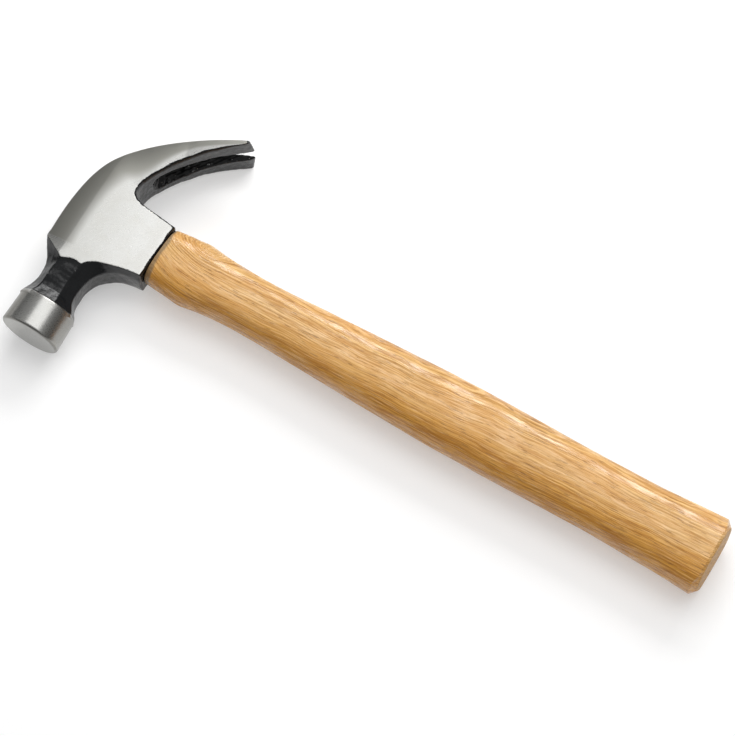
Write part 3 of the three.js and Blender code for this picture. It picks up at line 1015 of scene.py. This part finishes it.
def oak_grain(n):
    """Places in the wood: along the handle, across its bending grain, and up from its middle."""
    x, y, z = n.axes()
    past = n.math("MAXIMUM", n.math("SUBTRACT", x, GRAIN_SWEEP_FROM), 0.0)
    sweep = n.math("EXPONENT", n.times(past, -1 / GRAIN_SWEEP_LENGTH))
    bent = n.math("MULTIPLY_ADD", sweep, -GRAIN_SWEEP, y)
    bent = n.math("MULTIPLY_ADD", x, -GRAIN_DRIFT, bent)
    waver = n.noise(n.place(scale=(0.014, 0.022, 0.022)), detail=2)
    bent = n.math("MULTIPLY_ADD", waver, 7.0, bent)
    small_waver = n.noise(n.place(scale=(0.05, 0.08, 0.08)), detail=2)
    bent = n.math("MULTIPLY_ADD", small_waver, 1.6, bent)
    knot_x = n.times(n.math("SUBTRACT", x, KNOT_X), 1 / KNOT_HALF_LENGTH)
    knot_y = n.times(n.math("SUBTRACT", y, KNOT_Y), 1 / KNOT_HALF_WIDTH)
    away = n.math("MULTIPLY_ADD", knot_x, knot_x, n.times(knot_y, knot_y))
    knot = n.math("EXPONENT", n.times(away, -1.0))
    bent = n.math("MULTIPLY_ADD", knot, KNOT_PUSH, bent)
    height = n.math("SUBTRACT", z, ORIGIN[2])
    curved = n.times(height, n.math("MULTIPLY_ADD", height, 1 / 90.0, 0.5))
    return x, n.math("ADD", bent, curved), height


def ring_noise(n, grain, scale, detail=2.0):
    """Noise that changes only across the grain."""
    inputs = {"W": grain, "Scale": scale, "Detail": detail, "Roughness": 0.6}
    return n.add("ShaderNodeTexNoise", inputs, noise_dimensions="1D").outputs[0]


def fibre_noise(n, wood_place, scale, detail, rough=0.6):
    """Noise in the wood, with its own scale along the grain, across it and in depth."""
    stretched = n.add("ShaderNodeMapping", {0: wood_place, "Scale": scale})
    return n.noise(stretched.outputs[0], detail=detail, rough=rough)


def oak_figure(n):
    """What the oak's figure is made of, each as a value that wanders around a half."""
    x, grain, height = oak_grain(n)
    place = n.join(x, grain, height)
    return SimpleNamespace(
        x=x,
        rings=ring_noise(n, grain, 0.75),
        bands=ring_noise(n, grain, 0.16, detail=1.0),
        lines=ring_noise(n, grain, 1.4, detail=1.0),
        fibres=fibre_noise(n, place, (0.045, 1.7, 0.5), detail=3),
        hairs=fibre_noise(n, place, (0.08, 2.4, 0.8), detail=2),
        pores=fibre_noise(n, place, (0.17, 1.7, 0.6), detail=2, rough=0.5),
        mottle=fibre_noise(n, place, (0.07, 0.38, 0.25), detail=3),
        patches=n.noise(n.place(scale=(0.02, 0.09, 0.09)), detail=3))


def oak_colour(n, oak, pores):
    """Golden sapwood with its rings and lines, painted shade that turns it browner toward the
    handle's -Y side, then hairs and dark pores.
    """
    wood = n.blend(n.remap(oak.fibres, 0.36, 0.64, smooth=False), (0.42, 0.205, 0.05),
                   (0.75, 0.47, 0.18))
    wood = n.layers(wood, (oak.rings, 0.46, 0.60, 0.5, (0.40, 0.18, 0.042)),
                    (oak.lines, 0.53, 0.64, 0.6, (0.32, 0.14, 0.03)),
                    (oak.lines, 0.46, 0.36, 0.5, (0.82, 0.56, 0.26)),
                    (oak.bands, 0.35, 0.65, 0.35, (0.72, 0.45, 0.18)),
                    (oak.patches, 0.40, 0.68, 0.3, (0.66, 0.31, 0.09)),
                    (oak.mottle, 0.52, 0.68, 0.4, (0.50, 0.25, 0.085)),
                    (oak.mottle, 0.46, 0.32, 0.35, (0.84, 0.57, 0.30)))
    # Painted shade: browner, deeper orange toward the handle's -Y side.
    shaded_side = n.blend(n.remap(oak.fibres, 0.38, 0.62), (0.43, 0.165, 0.017), (0.68, 0.325, 0.048))
    side = n.math("MULTIPLY_ADD", oak.patches, 6.0, n.axes()["Y"])
    wood = n.blend(n.remap(side, *SHADED_SIDE_Y, 0, 0.95), wood, shaded_side)
    wood = n.layers(wood, (oak.hairs, 0.56, 0.70, 0.5, (0.24, 0.10, 0.026)),
                    (oak.hairs, 0.43, 0.32, 0.45, (0.84, 0.57, 0.29)))
    return n.blend(n.times(pores, 0.6), wood, (0.21, 0.095, 0.03))


def sawn_colour(n, oak):
    """The faces sawn across the grain: pores end on, and the rings' dark bands."""
    dots = n.remap(n.noise(n.place(), scale=1.6, detail=3), 0.50, 0.62, 0, 0.6)
    cut = n.blend(dots, (0.60, 0.34, 0.12), (0.24, 0.12, 0.04))
    return n.layers(cut, (oak.rings, 0.46, 0.60, 0.45, (0.26, 0.13, 0.045)))


def lacquer(n, oak, sawn, relief):
    """Clear lacquer that fills the pores unevenly, and is nearly soaked up by the sawn ends."""
    gloss = n.times(n.remap(oak.mottle, 0.62, 0.40, 0.30, 1.0),
                    n.remap(oak.hairs, 0.62, 0.45, 0.55, 1.0))
    weight = n.times(gloss, n.remap(sawn, 0, 1, 1, 0.15))
    for key, value in (("Weight", weight), ("Roughness", 0.17), ("IOR", 1.54),
                       ("Normal", n.bump(relief, 0.22, distance=0.00013))):
        n.put(n.shader.inputs["Coat " + key], value)


def oak_material():
    """Golden oak under clear lacquer: growth rings, long fibres and short dark pores."""
    n = Nodes("lacquered_oak")
    oak = oak_figure(n)
    pores = n.times(n.remap(oak.pores, 0.58, 0.68), n.remap(oak.rings, 0.42, 0.58, 0.25, 1.0))
    sawn = n.math("MAXIMUM", n.remap(oak.x, *BUTT_CUT_X), n.remap(oak.x, *TENON_CUT_X))
    wood = n.blend(sawn, oak_colour(n, oak, pores), sawn_colour(n, oak))
    # A darker band on the wood along the head's rim, kept off the sawn ends.
    uneven_x = n.math("ADD", oak.x, n.remap(oak.patches, 0.3, 0.7, -0.5, 0.5))
    darkening = n.times(n.remap(uneven_x, *RIM_DARK_BAND_X, 0, 0.75), n.math("SUBTRACT", 1.0, sawn))
    wood = n.blend(darkening, wood, (0.17, 0.125, 0.075))
    relief = n.math("SUBTRACT", n.math("MULTIPLY_ADD", oak.hairs, 0.9, oak.fibres), pores)
    lacquer(n, oak, sawn, relief)
    return n.finish(base_color=wood, roughness=0.5, specular=0.1,
                    normal=n.bump(relief, 0.6, distance=0.00013))


def wedge_wood_material():
    """Pale dry hardwood, its top crushed and grubby from the hammer."""
    n = Nodes("dry_hardwood")
    dots = n.noise(n.place(scale=(0.4, 2.2, 2.2)), detail=4)
    wood = n.blend(n.remap(dots, 0.35, 0.65), (0.33, 0.20, 0.095), (0.56, 0.38, 0.20))
    darkening = n.noise(n.place(), scale=0.5, detail=3)
    wood = n.layers(wood, (darkening, 0.45, 0.7, 0.6, (0.16, 0.11, 0.065)))
    return n.finish(base_color=wood, roughness=0.75, normal=n.bump(dots, 0.6, distance=0.0002))


def wedge_steel_material():
    """Dark mill-scaled steel with the bright dents left by driving it in."""
    n = Nodes("dark_wedge_steel")
    scale = n.noise(n.place(), scale=0.8, detail=5)
    dents = n.noise(n.place(shift=(3, 1, 2)), scale=0.45, detail=2)
    steel = n.blend(n.remap(scale, 0.35, 0.65), (0.12, 0.115, 0.11), (0.24, 0.23, 0.22))
    steel = n.blend(n.remap(dents, 0.5, 0.62, 0, 0.8), steel, (0.48, 0.47, 0.45))
    rust = n.remap(n.noise(n.place(shift=(9, 2, 4)), scale=0.7, detail=4), 0.58, 0.70, 0, 0.6)
    steel = n.blend(rust, steel, (0.22, 0.10, 0.045))
    return n.finish(base_color=steel, metallic=n.math("SUBTRACT", 0.95, rust),
                    roughness=n.remap(scale, 0.3, 0.7, 0.35, 0.6),
                    normal=n.bump(scale, 0.5, distance=0.0001))


# ---- camera, floor and light ----

# The camera's place is in the hammer's millimetres. It looks down its back axis.
CAMERA_PLACE = (457.99, -410.96, 1428.04)
CAMERA_RIGHT = (0.85943, 0.51004, -0.03532)
CAMERA_BACK = (0.19976, -0.27141, 0.94150)
LENS = 167.82
FLOOR_SIZE = 14
FLOOR_GLOW = 0.34


def put_in_scene(item, place, right, up, back):
    """Adds a camera or light that looks down its back axis."""
    turn = Matrix((right, up, back)).transposed().to_4x4()
    item.matrix_world = Matrix.Translation(Vector(place)) @ turn
    bpy.context.scene.collection.objects.link(item)


def add_camera():
    back = Vector(CAMERA_BACK).normalized()
    up = back.cross(Vector(CAMERA_RIGHT)).normalized()
    data = bpy.data.cameras.new("camera")
    data.lens = LENS
    data.sensor_width = 36
    data.sensor_fit = "HORIZONTAL"
    data.clip_start = 0.05
    camera = bpy.data.objects.new("camera", data)
    put_in_scene(camera, to_frame(CAMERA_PLACE), up.cross(back), up, back)
    bpy.context.scene.camera = camera


def add_area(name, target, way, distance, size, radiance, glossy=True):
    """A rectangular light that looks at a target from the given way."""
    data = bpy.data.lights.new(name, "AREA")
    data.shape = "RECTANGLE"
    data.size, data.size_y = size
    data.energy = radiance * math.pi * size[0] * size[1]
    lamp = bpy.data.objects.new(name, data)
    lamp.visible_glossy = glossy
    way = Vector(way).normalized()
    sideways = (Vector((1, 0, 0)) - way * way.x).normalized()
    put_in_scene(lamp, Vector(target) + way * distance, sideways, way.cross(sideways), way)


def add_lights():
    head, grip = to_frame([20, 0, 0]), to_frame([150, 0, 0])
    add_area("softbox_overhead", head, way=(0.13, 0.34, 1), distance=1.1, size=(1.09, 0.46),
             radiance=1.56)
    add_area("softbox_side", grip, way=(-0.12, 0.80, 0.62), distance=1.0, size=(0.75, 0.34),
             radiance=7.6)
    add_area("fill", grip, way=(0.0, 0.30, 1), distance=2.0, size=(2.6, 2.6), radiance=1.2,
             glossy=False)


def add_room():
    """A dim room around the hammer, darker toward the horizon."""
    world = bpy.data.worlds.new("room")
    world.use_nodes = True
    bpy.context.scene.world = world
    nodes, links = world.node_tree.nodes, world.node_tree.links
    height = nodes.new("ShaderNodeSeparateXYZ")
    links.new(nodes.new("ShaderNodeTexCoord").outputs["Generated"], height.inputs[0])
    shade = nodes.new("ShaderNodeMapRange")
    for key, value in (("From Min", 0.0), ("From Max", 0.75), ("To Min", 0.13), ("To Max", 0.36)):
        shade.inputs[key].default_value = value
    links.new(height.outputs["Z"], shade.inputs[0])
    links.new(shade.outputs[0], nodes["Background"].inputs[0])


def add_floor():
    bpy.ops.mesh.primitive_grid_add(x_subdivisions=2, y_subdivisions=2, size=FLOOR_SIZE)
    floor = bpy.context.object
    floor.name = "floor"
    n = Nodes("pale_floor")
    n.put(n.shader.inputs["Emission Color"], (1, 1, 1))
    n.put(n.shader.inputs["Emission Strength"], FLOOR_GLOW)
    floor.data.materials.append(n.finish(base_color=(0.64, 0.64, 0.64), roughness=0.9,
                                         specular=0.1))


# ---- the object ----


def settle_piece(piece, material, node):
    """Gives a piece its material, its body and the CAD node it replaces."""
    piece.data.materials.append(material)
    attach(piece, "root")
    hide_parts(node)


add_camera()
add_floor()
add_lights()
add_room()

settle_piece(make_head(), head_material(), "hammer_head")
settle_piece(make_handle(), oak_material(), "handle")
settle_piece(make_wood_wedge(), wedge_wood_material(), "wood_wedge")
wedge_steel = wedge_steel_material()
for number, place in enumerate(steel_places(), 1):
    wedge = make_wedge(f"driven_wedge_{number}", STEEL_WEDGE, place, top_x=0.55, dent=0.05,
                       seed=30 + number)
    settle_piece(wedge, wedge_steel, f"steel_wedge_{number}")

scene = bpy.context.scene
scene.view_settings.view_transform = "Standard"
scene.view_settings.look = "None"
